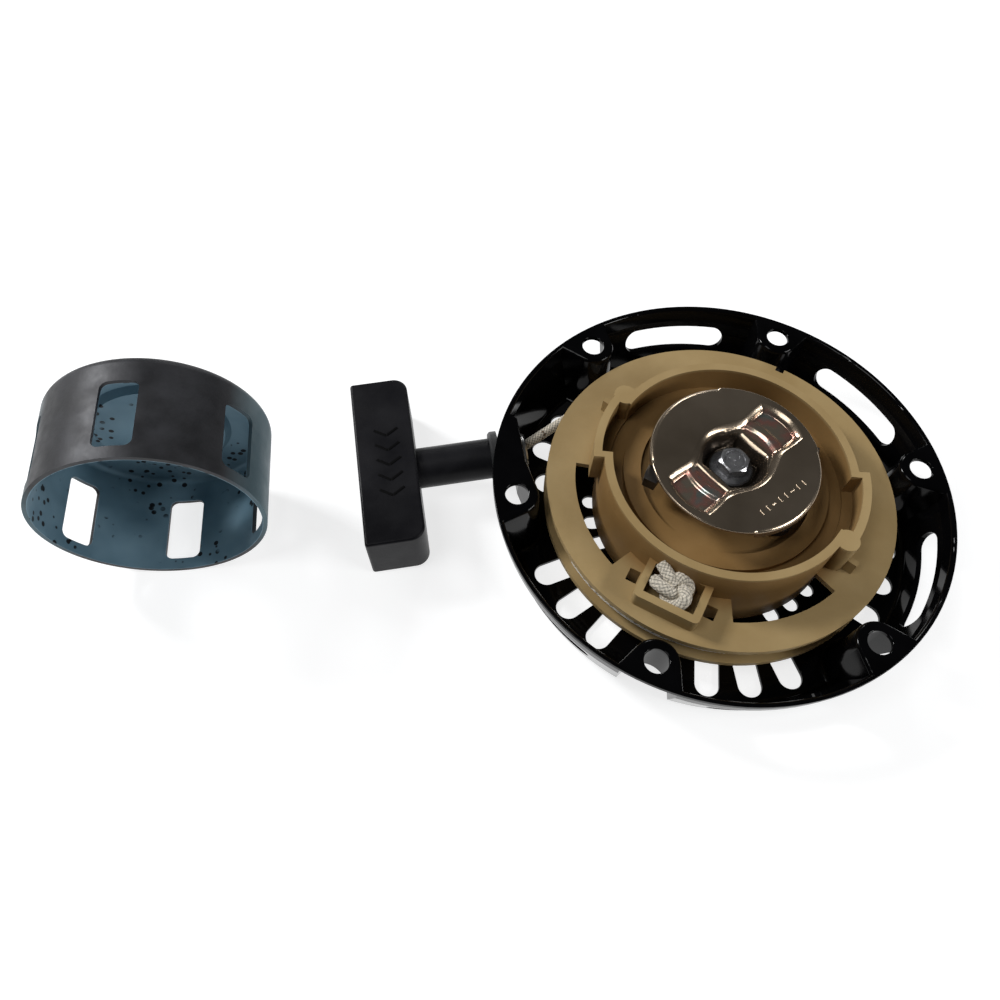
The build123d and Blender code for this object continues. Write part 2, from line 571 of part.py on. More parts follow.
with BuildPart() as handle_grip:
    with BuildSketch(Plane(origin=(BAR_X, BAR_Y, HANDLE_Z - BAR_H / 2), x_dir=(AX[0], AX[1], 0), z_dir=(0, 0, 1))):
        Rectangle(BAR_W, BAR_L)
    extrude(amount=BAR_H)
    # ends are rounded on the side facing the engine, crisper on the palm side
    near = [e for e in handle_grip.edges().filter_by(Axis.Z)
            if (e.center().X - BAR_X) * AX[0] + (e.center().Y - BAR_Y) * AX[1] > 0]
    fillet(near, 5.5)
    far = [e for e in handle_grip.edges().filter_by(Axis.Z)
           if (e.center().X - BAR_X) * AX[0] + (e.center().Y - BAR_Y) * AX[1] < -BAR_W / 2 + 0.5]
    fillet(far, 1.2)
    fillet(handle_grip.faces().sort_by(Axis.Z)[-1].edges(), 1.0)
    fillet(handle_grip.faces().sort_by(Axis.Z)[0].edges(), 1.0)
    with BuildSketch(pull_plane(BAR_W / 2 - 1.0)):
        Circle(STEM_R)
    extrude(amount=STEM_END - BAR_W / 2 + 1.0 - 1.2)
    with BuildSketch(pull_plane(-BAR_W / 2 - 1)):
        Circle(2.3)
    extrude(amount=60, mode=Mode.SUBTRACT)
    with BuildSketch(pull_plane(-BAR_W / 2 - 1)):
        Circle(8.0)
    extrude(amount=14, mode=Mode.SUBTRACT)
save(tilted(handle_grip.part), "handle_grip")

with BuildPart() as handle_washer:
    with BuildSketch(pull_plane(0.5)):
        Circle(7.4)
        Circle(2.1, mode=Mode.SUBTRACT)
    extrude(amount=1.45)
save(tilted(handle_washer.part), "handle_washer")

with BuildPart() as handle_knot:
    with BuildSketch(pull_plane(-6.6)):
        Circle(5.2)
    extrude(amount=7.0)
    fillet(handle_knot.edges(), 2.6)
save(tilted(handle_knot.part), "handle_knot")

with BuildPart() as rope_handle_end:              # from the knot through the stem to its mouth
    with BuildSketch(pull_plane(0.45)):
        Circle(ROPE_D / 2)
    extrude(amount=STEM_END - 1.2 - 0.45 - 0.02)
save(tilted(rope_handle_end.part), "rope_handle_end")

with BuildPart() as handle_cap:
    with BuildSketch(pull_plane(-BAR_W / 2)):
        Circle(7.95)
    extrude(amount=2.4)
save(tilted(handle_cap.part), "handle_cap")

# ---------------------------------------------------------------- starter cup, lying on its side
cy = math.radians(CUP_YAW)
CUP_AX = (-math.sin(cy), math.cos(cy), 0)          # from the mouth to the base
CUP_SIDE = (math.cos(cy), math.sin(cy), 0)
CUP_Z = Z_BACK + CUP_R
cup_plane = Plane(origin=(CUP_X, CUP_Y, CUP_Z), x_dir=CUP_SIDE, z_dir=(CUP_AX[0], CUP_AX[1], 0))
with BuildPart() as starter_cup:
    with BuildSketch(Plane(origin=(CUP_X, CUP_Y, CUP_Z), x_dir=CUP_SIDE, z_dir=(0, 0, 1))):
        R, T, L = CUP_R, CUP_T, CUP_L
        with BuildLine():
            Line((R - T, 0), (R, 0))
            Line((R, 0), (R, L - 3.5))
            ThreePointArc((R, L - 3.5), (R - 1.03, L - 1.03), (R - 3.5, L))
            Line((R - 3.5, L), (23.5, L))
            Line((23.5, L), (21.5, L - 2.2))
            Line((21.5, L - 2.2), (CUP_BORE_R, L - 2.2))
            Line((CUP_BORE_R, L - 2.2), (CUP_BORE_R, L - 2.2 - T))
            Line((CUP_BORE_R, L - 2.2 - T), (22.1, L - 2.2 - T))
            Line((22.1, L - 2.2 - T), (24.1, L - T))
            Line((24.1, L - T), (R - 3.5, L - T))
            ThreePointArc((R - 3.5, L - T), (R - T - 0.55, L - T - 0.55 - 0.0), (R - T, L - 3.5))
            Line((R - T, L - 3.5), (R - T, 0))
        make_face()
    revolve(axis=Axis((CUP_X, CUP_Y, CUP_Z), CUP_AX))
    for i in range(6):
        a = math.radians(CUP_WINDOW_A0 + 60 * i)
        d = (CUP_SIDE[0] * math.cos(a), CUP_SIDE[1] * math.cos(a), math.sin(a))
        o = (CUP_X + CUP_AX[0] * 16.6, CUP_Y + CUP_AX[1] * 16.6, CUP_Z)
        with BuildSketch(Plane(origin=o, x_dir=CUP_AX, z_dir=d)):
            RectangleRounded(24.6, 12.4, 2.6)
        extrude(amount=CUP_R + 5, mode=Mode.SUBTRACT)
save(starter_cup.part, "starter_cup")
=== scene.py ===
import json
import math
import bpy
import numpy as np
from mathutils import Matrix, Vector


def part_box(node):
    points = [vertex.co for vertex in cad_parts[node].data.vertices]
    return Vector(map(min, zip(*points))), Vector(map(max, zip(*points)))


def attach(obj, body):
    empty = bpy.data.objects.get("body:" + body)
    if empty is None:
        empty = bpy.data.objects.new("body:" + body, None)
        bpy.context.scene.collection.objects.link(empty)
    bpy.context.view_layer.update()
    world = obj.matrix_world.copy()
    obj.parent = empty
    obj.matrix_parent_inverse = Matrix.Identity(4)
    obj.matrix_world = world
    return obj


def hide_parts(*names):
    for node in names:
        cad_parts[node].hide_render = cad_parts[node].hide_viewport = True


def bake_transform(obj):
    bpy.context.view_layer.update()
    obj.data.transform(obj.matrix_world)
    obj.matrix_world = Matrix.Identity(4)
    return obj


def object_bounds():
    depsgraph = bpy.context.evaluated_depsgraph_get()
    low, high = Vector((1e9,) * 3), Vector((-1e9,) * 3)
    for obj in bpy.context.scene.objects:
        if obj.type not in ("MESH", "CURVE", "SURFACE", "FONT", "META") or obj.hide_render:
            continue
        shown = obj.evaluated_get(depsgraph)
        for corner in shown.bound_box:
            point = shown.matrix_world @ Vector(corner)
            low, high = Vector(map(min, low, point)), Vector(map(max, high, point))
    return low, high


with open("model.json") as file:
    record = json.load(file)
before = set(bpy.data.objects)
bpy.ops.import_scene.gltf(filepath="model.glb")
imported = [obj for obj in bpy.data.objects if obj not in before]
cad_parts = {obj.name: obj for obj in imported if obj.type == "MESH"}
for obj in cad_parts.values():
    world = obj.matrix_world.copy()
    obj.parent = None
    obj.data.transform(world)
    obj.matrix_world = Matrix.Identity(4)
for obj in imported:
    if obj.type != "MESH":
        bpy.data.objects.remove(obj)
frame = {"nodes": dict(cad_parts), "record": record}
lo0, hi0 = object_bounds()
N = frame["nodes"]
MM = 0.001


def polar(r, a, z=0.0):
    return np.array((r * math.cos(math.radians(a)), r * math.sin(math.radians(a)), z))


# ------------------------------------------------------------------ camera and light
cam_data = bpy.data.cameras.new("camera")
cam_data.lens, cam_data.sensor_width = 32.31, 36.0
cam_data.clip_start, cam_data.clip_end = 0.01, 20.0
cam = bpy.data.objects.new("camera", cam_data)
bpy.context.scene.collection.objects.link(cam)
cam.matrix_world = Matrix(((0.99301, 0.06221, -0.10031, -0.11646), (-0.10437, 0.85963, -0.50015, -0.16405),
                           (0.05512, 0.50712, 0.86011, 0.27821), (0, 0, 0, 1)))
bpy.context.scene.camera = cam
bpy.context.scene.view_settings.view_transform = "Standard"

world = bpy.data.worlds.new("world")
bpy.context.scene.world = world
world.use_nodes = True
world.node_tree.nodes["Background"].inputs[0].default_value = (0.92, 0.96, 1.0, 1)
world.node_tree.nodes["Background"].inputs[1].default_value = 0.035


def area(name, loc, target, size, power, color=(1, 1, 1), size_y=None):
    d = bpy.data.lights.new(name, "AREA")
    d.energy, d.color = power, color
    d.size = size
    if size_y:
        d.shape = "RECTANGLE"
        d.size_y = size_y
    o = bpy.data.objects.new(name, d)
    bpy.context.scene.collection.objects.link(o)
    o.location = loc
    o.rotation_euler = (Vector(target) - Vector(loc)).to_track_quat("-Z", "Y").to_euler()
    return o


area("key", (-0.80, 0.48, 0.62), (-0.05, 0.0, 0.0), 0.22, 8.0)
area("side", (0.73, -0.38, 0.50), (0.0, 0.0, 0.0), 0.48, 4.3, size_y=0.13)
area("top", (-0.55, -0.15, 0.98), (-0.05, 0.0, 0.0), 0.40, 2.6)
area("back", (0.10, 0.90, 0.42), (0.0, 0.0, 0.0), 0.20, 1.6)


# ------------------------------------------------------------------ materials
def material(name, dark, light, rough=(0.35, 0.5), metallic=0.0, scale=90.0, detail=5.0, bump=0.15,
             bump_scale=900.0, coat=0.0, coat_rough=0.1, spread=(0.35, 0.65), spec=0.5, aniso=0.0,
             speck=None, scratch=None):
    """Shader with mottled colour, uneven gloss and a fine surface grain, all in object space."""
    m = bpy.data.materials.new(name)
    m.use_nodes = True
    t = m.node_tree
    b = t.nodes["Principled BSDF"]
    b.inputs["Metallic"].default_value = metallic
    b.inputs["Specular IOR Level"].default_value = spec
    b.inputs["Coat Weight"].default_value = coat
    b.inputs["Coat Roughness"].default_value = coat_rough
    b.inputs["Anisotropic"].default_value = aniso
    co = t.nodes.new("ShaderNodeTexCoord").outputs["Object"]

    def noise(sc, det=4.0, roughness=0.55, vec=None):
        n = t.nodes.new("ShaderNodeTexNoise")
        n.inputs["Scale"].default_value = sc
        n.inputs["Detail"].default_value = det
        n.inputs["Roughness"].default_value = roughness
        t.links.new(vec or co, n.inputs["Vector"])
        return n.outputs["Fac"]

    def ramp(fac, stops, kind="LINEAR"):
        r = t.nodes.new("ShaderNodeValToRGB")
        r.color_ramp.interpolation = kind
        els = r.color_ramp.elements
        while len(els) < len(stops):
            els.new(0.5)
        for e, (p, c) in zip(els, stops):
            e.position = p
            e.color = (*c, 1) if len(c) == 3 else c
        t.links.new(fac, r.inputs["Fac"])
        return r.outputs["Color"]

    def mixc(fac, a, c):
        x = t.nodes.new("ShaderNodeMix")
        x.data_type = "RGBA"
        t.links.new(fac, x.inputs["Factor"])
        t.links.new(a, x.inputs["A"])
        if isinstance(c, tuple):
            x.inputs["B"].default_value = (*c, 1)
        else:
            t.links.new(c, x.inputs["B"])
        return x.outputs["Result"]

    color = ramp(noise(scale, detail), [(spread[0], dark), (spread[1], light)])
    if speck:
        col, sc, width = speck
        v = t.nodes.new("ShaderNodeTexVoronoi")
        v.inputs["Scale"].default_value = sc
        t.links.new(co, v.inputs["Vector"])
        f = ramp(v.outputs["Distance"], [(width * 0.6, (1, 1, 1)), (width, (0, 0, 0))])
        g = ramp(noise(sc * 0.22, 2.0), [(0.52, (0, 0, 0)), (0.6, (1, 1, 1))])
        mm = t.nodes.new("ShaderNodeMath")
        mm.operation = "MULTIPLY"
        t.links.new(f, mm.inputs[0])
        t.links.new(g, mm.inputs[1])
        color = mixc(mm.outputs[0], color, col)
    t.links.new(color, b.inputs["Base Color"])
    r = t.nodes.new("ShaderNodeMapRange")
    r.inputs["From Min"].default_value, r.inputs["From Max"].default_value = 0.3, 0.7
    r.inputs["To Min"].default_value, r.inputs["To Max"].default_value = rough
    t.links.new(noise(scale * 1.7, 4.0), r.inputs["Value"])
    t.links.new(r.outputs["Result"], b.inputs["Roughness"])
    height = noise(bump_scale, 3.0)
    if scratch:
        stretch = t.nodes.new("ShaderNodeMapping")
        stretch.inputs["Scale"].default_value = scratch
        t.links.new(co, stretch.inputs["Vector"])
        s = noise(1.0, 6.0, 0.7, stretch.outputs["Vector"])
        ad = t.nodes.new("ShaderNodeMath")
        ad.operation = "ADD"
        t.links.new(height, ad.inputs[0])
        t.links.new(s, ad.inputs[1])
        height = ad.outputs[0]
    bp = t.nodes.new("ShaderNodeBump")
    bp.inputs["Strength"].default_value = bump
    bp.inputs["Distance"].default_value = 0.0002
    t.links.new(height, bp.inputs["Height"])
    t.links.new(bp.outputs["Normal"], b.inputs["Normal"])
    m["kit"] = 1
    return m


M = {
    "housing": material("black_paint", (0.0010, 0.0010, 0.0012), (0.0022, 0.0022, 0.0026), rough=(0.07, 0.15),
                        scale=60, bump=0.02, bump_scale=300, spec=0.15),
    "steel": material("dark_steel", (0.10, 0.10, 0.10), (0.22, 0.22, 0.22), rough=(0.28, 0.5), metallic=1.0,
                      scratch=(60, 900, 60)),
    "nylon": material("white_nylon", (0.55, 0.54, 0.50), (0.66, 0.65, 0.60), rough=(0.4, 0.55)),
    "spring": material("spring_strip", (0.06, 0.065, 0.08), (0.13, 0.13, 0.15), rough=(0.25, 0.4), metallic=1.0),
    "tan": material("tan_plastic", (0.325, 0.225, 0.098), (0.424, 0.309, 0.150), rough=(0.42, 0.60), scale=32, spec=0.20,
                    bump=0.16, bump_scale=1400, spread=(0.3, 0.7)),
    "cover": material("cover_steel", (0.16, 0.16, 0.155), (0.30, 0.30, 0.29), rough=(0.3, 0.5), metallic=1.0),
    "pawl": material("pawl_steel", (0.07, 0.07, 0.07), (0.16, 0.15, 0.14), rough=(0.35, 0.5), metallic=1.0,
                     scratch=(200, 200, 60)),
    "bolt": material("bolt_zinc", (0.24, 0.24, 0.25), (0.36, 0.36, 0.37), rough=(0.20, 0.34), metallic=0.80,
                     scale=240, bump=0.25, bump_scale=1800),
    "bush": material("guide_plastic", (0.010, 0.010, 0.011), (0.022, 0.022, 0.023), rough=(0.4, 0.6)),
    "eyelet": material("eyelet_steel", (0.35, 0.35, 0.34), (0.5, 0.5, 0.49), rough=(0.2, 0.35), metallic=1.0),
    "handle": material("handle_plastic", (0.0045, 0.0045, 0.0058), (0.0105, 0.0105, 0.0125), rough=(0.30, 0.44),
                       scale=45, bump=0.26, bump_scale=1900, spec=0.14),
    # painted shade: the handle marks are near-black to stand in for the shade inside recessed lettering
    "mark": material("mark_painted_shade", (0.0012, 0.0012, 0.0014), (0.002, 0.002, 0.0022), rough=(0.5, 0.6), spec=0.06),
}


def plate_material():
    m = material("plate_zinc", (0.330, 0.262, 0.190), (0.450, 0.365, 0.275), rough=(0.16, 0.24), metallic=0.90,
                 scale=34, bump=0.12, bump_scale=900, scratch=(500, 90, 90))
    t = m.node_tree
    b = t.nodes["Principled BSDF"]
    base = b.inputs["Base Color"].links[0].from_socket
    at = t.nodes.new("ShaderNodeAttribute")
    at.attribute_name = "tint"
    n = t.nodes.new("ShaderNodeTexNoise")
    n.inputs["Scale"].default_value = 130
    n.inputs["Detail"].default_value = 3
    r = t.nodes.new("ShaderNodeValToRGB")
    els = r.color_ramp.elements
    els[0].position, els[0].color = 0.36, (0.52, 0.44, 0.34, 1)
    els[1].position, els[1].color = 0.64, (0.42, 0.46, 0.42, 1)
    e = els.new(0.5)
    e.color = (0.74, 0.36, 0.29, 1)
    co = t.nodes.new("ShaderNodeTexCoord").outputs["Object"]
    t.links.new(co, n.inputs["Vector"])
    t.links.new(n.outputs["Fac"], r.inputs["Fac"])
    x = t.nodes.new("ShaderNodeMix")
    x.data_type = "RGBA"
    t.links.new(at.outputs["Fac"], x.inputs["Factor"])
    t.links.new(base, x.inputs["A"])
    t.links.new(r.outputs["Color"], x.inputs["B"])
    # painted shade: the base colour is darkened in the middle recess of the plate
    recess_shade_attr = t.nodes.new("ShaderNodeAttribute")
    recess_shade_attr.attribute_name = "recess_shade"
    y = t.nodes.new("ShaderNodeMix")
    y.data_type = "RGBA"
    y.inputs["B"].default_value = (0.035, 0.026, 0.020, 1)
    t.links.new(recess_shade_attr.outputs["Fac"], y.inputs["Factor"])
    t.links.new(x.outputs["Result"], y.inputs["A"])
    t.links.new(y.outputs["Result"], b.inputs["Base Color"])
    return m


M["plate"] = plate_material()


def rope_material():
    m = bpy.data.materials.new("braided_rope")
    m.use_nodes = True
    t = m.node_tree
    b = t.nodes["Principled BSDF"]
    b.inputs["Roughness"].default_value = 0.78
    b.inputs["Specular IOR Level"].default_value = 0.3
    b.inputs["Sheen Weight"].default_value = 0.25
    at = t.nodes.new("ShaderNodeAttribute")
    at.attribute_name = "yarn"
    co = t.nodes.new("ShaderNodeTexCoord").outputs["Object"]
    n = t.nodes.new("ShaderNodeTexNoise")
    n.inputs["Scale"].default_value = 2600
    n.inputs["Detail"].default_value = 3
    t.links.new(co, n.inputs["Vector"])
    r = t.nodes.new("ShaderNodeValToRGB")
    r.color_ramp.elements[0].position, r.color_ramp.elements[0].color = 0.3, (0.72, 0.70, 0.66, 1)
    r.color_ramp.elements[1].position, r.color_ramp.elements[1].color = 0.7, (1, 1, 1, 1)
    t.links.new(n.outputs["Fac"], r.inputs["Fac"])
    x = t.nodes.new("ShaderNodeMix")
    x.data_type, x.blend_type = "RGBA", "MULTIPLY"
    x.inputs["Factor"].default_value = 1.0
    t.links.new(at.outputs["Color"], x.inputs["A"])
    t.links.new(r.outputs["Color"], x.inputs["B"])
    t.links.new(x.outputs["Result"], b.inputs["Base Color"])
    bp = t.nodes.new("ShaderNodeBump")
    bp.inputs["Strength"].default_value = 0.4
    bp.inputs["Distance"].default_value = 0.0001
    t.links.new(n.outputs["Fac"], bp.inputs["Height"])
    t.links.new(bp.outputs["Normal"], b.inputs["Normal"])
    return m


M["rope"] = rope_material()


def cup_material():
    """Outside brown-grey and speckled, with a painted reflection of the pale floor as a bluish tint on the far sides,
    blue-green inside.
    """
    m = material("cup_zinc", (0.015, 0.0155, 0.018), (0.030, 0.031, 0.036), rough=(0.42, 0.58), metallic=0.30, spec=0.38,
                 scale=85, bump=0.14, bump_scale=1100, scratch=(120, 120, 900))
    t = m.node_tree
    b = t.nodes["Principled BSDF"]
    base = b.inputs["Base Color"].links[0].from_socket
    co = t.nodes.new("ShaderNodeTexCoord").outputs["Object"]
    mp = t.nodes.new("ShaderNodeMapping")
    mp.vector_type = "TEXTURE"
    mp.inputs["Location"].default_value = (-0.2029, -0.0081, 0.0112)
    mp.inputs["Rotation"].default_value = (0, 0, math.radians(-0.8))
    t.links.new(co, mp.inputs["Vector"])
    fl = t.nodes.new("ShaderNodeVectorMath")
    fl.operation = "MULTIPLY"
    fl.inputs[1].default_value = (1, 0, 1)
    t.links.new(mp.outputs["Vector"], fl.inputs[0])
    ln = t.nodes.new("ShaderNodeVectorMath")
    ln.operation = "LENGTH"
    t.links.new(fl.outputs["Vector"], ln.inputs[0])
    mr = t.nodes.new("ShaderNodeMapRange")
    mr.inputs["From Min"].default_value, mr.inputs["From Max"].default_value = 0.03668, 0.03684
    mr.inputs["To Min"].default_value, mr.inputs["To Max"].default_value = 1.0, 0.0
    t.links.new(ln.outputs["Value"], mr.inputs["Value"])
    face = t.nodes.new("ShaderNodeVectorMath")       # the closed end's outer face belongs to the outside
    face.operation = "DOT_PRODUCT"
    face.inputs[1].default_value = (0.014, 0.9999, 0)
    t.links.new(mp.inputs["Vector"].links[0].from_node.outputs["Normal"], face.inputs[0])
    out = t.nodes.new("ShaderNodeMapRange")
    out.inputs["From Min"].default_value, out.inputs["From Max"].default_value = 0.25, 0.5
    out.inputs["To Min"].default_value, out.inputs["To Max"].default_value = 1.0, 0.0
    t.links.new(face.outputs["Value"], out.inputs["Value"])
    within = t.nodes.new("ShaderNodeMath")
    within.operation = "MULTIPLY"
    t.links.new(mr.outputs["Result"], within.inputs[0])
    t.links.new(out.outputs["Result"], within.inputs[1])
    n = t.nodes.new("ShaderNodeTexNoise")
    n.inputs["Scale"].default_value = 60
    t.links.new(co, n.inputs["Vector"])
    r = t.nodes.new("ShaderNodeValToRGB")
    r.color_ramp.elements[0].position, r.color_ramp.elements[0].color = 0.35, (0.115, 0.205, 0.265, 1)
    r.color_ramp.elements[1].position, r.color_ramp.elements[1].color = 0.65, (0.175, 0.285, 0.355, 1)
    t.links.new(n.outputs["Fac"], r.inputs["Fac"])
    x = t.nodes.new("ShaderNodeMix")
    x.data_type = "RGBA"
    t.links.new(within.outputs[0], x.inputs["Factor"])
    sx = t.nodes.new("ShaderNodeSeparateXYZ")       # painted reflection: the far sides of the band are tinted bluish, as if reflecting the pale floor
    t.links.new(mp.outputs["Vector"], sx.inputs[0])
    ab = t.nodes.new("ShaderNodeMath")
    ab.operation = "ABSOLUTE"
    t.links.new(sx.outputs["X"], ab.inputs[0])
    far = t.nodes.new("ShaderNodeMapRange")
    far.inputs["From Min"].default_value, far.inputs["From Max"].default_value = 0.029, 0.0375
    t.links.new(ab.outputs[0], far.inputs["Value"])
    blue = t.nodes.new("ShaderNodeMix")
    blue.data_type = "RGBA"
    blue.inputs["B"].default_value = (0.070, 0.125, 0.150, 1)
    t.links.new(far.outputs["Result"], blue.inputs["Factor"])
    t.links.new(base, blue.inputs["A"])
    t.links.new(blue.outputs["Result"], x.inputs["A"])
    t.links.new(r.outputs["Color"], x.inputs["B"])
    v = t.nodes.new("ShaderNodeTexVoronoi")
    v.inputs["Scale"].default_value = 290
    v.inputs["Randomness"].default_value = 1.0
    t.links.new(co, v.inputs["Vector"])
    spot = t.nodes.new("ShaderNodeMapRange")
    spot.inputs["From Min"].default_value, spot.inputs["From Max"].default_value = 0.25, 0.31
    spot.inputs["To Min"].default_value, spot.inputs["To Max"].default_value = 1.0, 0.0
    t.links.new(v.outputs["Distance"], spot.inputs["Value"])
    g = t.nodes.new("ShaderNodeTexNoise")
    g.inputs["Scale"].default_value = 48
    t.links.new(co, g.inputs["Vector"])
    gate = t.nodes.new("ShaderNodeMapRange")
    gate.inputs["From Min"].default_value, gate.inputs["From Max"].default_value = 0.47, 0.50
    t.links.new(g.outputs["Fac"], gate.inputs["Value"])
    both = t.nodes.new("ShaderNodeMath")
    both.operation = "MULTIPLY"
    t.links.new(spot.outputs["Result"], both.inputs[0])
    t.links.new(gate.outputs["Result"], both.inputs[1])
    inner = t.nodes.new("ShaderNodeMath")           # fewer spots outside than inside
    inner.operation = "MULTIPLY_ADD"
    inner.inputs[1].default_value, inner.inputs[2].default_value = 0.94, 0.06
    t.links.new(within.outputs[0], inner.inputs[0])
    amount = t.nodes.new("ShaderNodeMath")
    amount.operation = "MULTIPLY"
    t.links.new(both.outputs[0], amount.inputs[0])
    t.links.new(inner.outputs[0], amount.inputs[1])
    y = t.nodes.new("ShaderNodeMix")
    y.data_type = "RGBA"
    y.inputs["B"].default_value = (0.004, 0.0045, 0.006, 1)
    t.links.new(amount.outputs[0], y.inputs["Factor"])
    t.links.new(x.outputs["Result"], y.inputs["A"])
    t.links.new(y.outputs["Result"], b.inputs["Base Color"])
    return m


M["cup"] = cup_material()

def paint_ring_shade(m):
    """Painted shade: the plastic inside and at the foot of the pawl ring is drawn browner and darker than the flange,
    standing in for the shade of the ring walls.
    """
    t = m.node_tree
    b = t.nodes["Principled BSDF"]
    base = b.inputs["Base Color"].links[0].from_socket
    co = t.nodes.new("ShaderNodeTexCoord").outputs["Object"]
    fl = t.nodes.new("ShaderNodeVectorMath")
    fl.operation = "MULTIPLY"
    fl.inputs[1].default_value = (1, 1, 0)
    t.links.new(co, fl.inputs[0])
    ln = t.nodes.new("ShaderNodeVectorMath")
    ln.operation = "LENGTH"
    t.links.new(fl.outputs["Vector"], ln.inputs[0])
    r = t.nodes.new("ShaderNodeMapRange")
    r.interpolation_type = "SMOOTHSTEP"
    r.inputs["From Min"].default_value, r.inputs["From Max"].default_value = 0.0455, 0.0535
    r.inputs["To Min"].default_value, r.inputs["To Max"].default_value = 1.0, 0.0
    t.links.new(ln.outputs["Value"], r.inputs["Value"])
    sep = t.nodes.new("ShaderNodeSeparateXYZ")
    t.links.new(co, sep.inputs[0])
    h = t.nodes.new("ShaderNodeMapRange")
    h.inputs["From Min"].default_value, h.inputs["From Max"].default_value = 0.0095, 0.0111
    h.inputs["To Min"].default_value, h.inputs["To Max"].default_value = 1.0, 0.15
    t.links.new(sep.outputs["Z"], h.inputs["Value"])
    mu = t.nodes.new("ShaderNodeMath")
    mu.operation = "MULTIPLY"
    t.links.new(r.outputs["Result"], mu.inputs[0])
    t.links.new(h.outputs["Result"], mu.inputs[1])
    x = t.nodes.new("ShaderNodeMix")
    x.data_type, x.blend_type = "RGBA", "MULTIPLY"
    # colour of the painted shade, multiplied in inside and at the foot of the ring
    x.inputs["B"].default_value = (0.66, 0.54, 0.42, 1)
    t.links.new(mu.outputs[0], x.inputs["Factor"])
    t.links.new(base, x.inputs["A"])
    t.links.new(x.outputs["Result"], b.inputs["Base Color"])


paint_ring_shade(M["tan"])

SLOT_MAT = {"housing_paint": "housing", "post_steel": "steel", "washer_nylon": "nylon", "spring_steel": "spring",
            "pulley_nylon": "tan", "cover_steel": "cover", "pawl_steel": "pawl", "plate_zinc": "plate",
            "bolt_zinc": "bolt", "bush_plastic": "bush", "eyelet_steel": "eyelet", "rope_braid": "rope",
            "handle_plastic": "handle", "cup_zinc": "cup"}
for entry in frame["record"]["subparts"]:
    N[entry["node"]].data.materials.clear()
    N[entry["node"]].data.materials.append(M[SLOT_MAT[entry["material_slot"]]])


def soften(node, width, segments=2, angle=35):
    """Small rounding along a part's sharp edges."""
    b = N[node].modifiers.new("soft_edges", "BEVEL")
    b.width, b.segments = width * MM, segments
    b.limit_method, b.angle_limit = "ANGLE", math.radians(angle)
    b.use_clamp_overlap = True


soften("pulley", 0.45)
soften("centre_bolt", 0.25, 2, 25)
soften("starter_cup", 0.25, 2, 50)
soften("handle_grip", 0.35, 2, 50)


# ------------------------------------------------------------------ mesh helpers
def mesh_object(name, verts, faces, mat, smooth=True):
    me = bpy.data.meshes.new(name)
    me.from_pydata([tuple(v * MM) for v in np.asarray(verts, float)], [], faces)
    me.update()
    o = bpy.data.objects.new(name, me)
    bpy.context.scene.collection.objects.link(o)
    me.materials.append(mat)
    if smooth:
        me.polygons.foreach_set("use_smooth", [True] * len(me.polygons))
    return o


def resample(points, step):
    p = np.asarray(points, float)
    d = np.r_[0, np.cumsum(np.linalg.norm(np.diff(p, axis=0), axis=1))]
    n = max(4, int(d[-1] / step))
    s = np.linspace(0, d[-1], n)
    return np.stack([np.interp(s, d, p[:, k]) for k in range(3)], 1), s


def frames(p, closed=False):
    if closed:
        tan = np.roll(p, -1, 0) - np.roll(p, 1, 0)
    else:
        tan = np.gradient(p, axis=0)
    tan /= np.linalg.norm(tan, axis=1)[:, None]
    ref = np.array((0.0, 0.0, 1.0))
    if np.abs(tan @ ref).max() > 0.92:
        ref = np.array((0.34, 0.29, 0.9))
    a = np.cross(tan, ref)
    a /= np.linalg.norm(a, axis=1)[:, None]
    return tan, a, np.cross(a, tan)


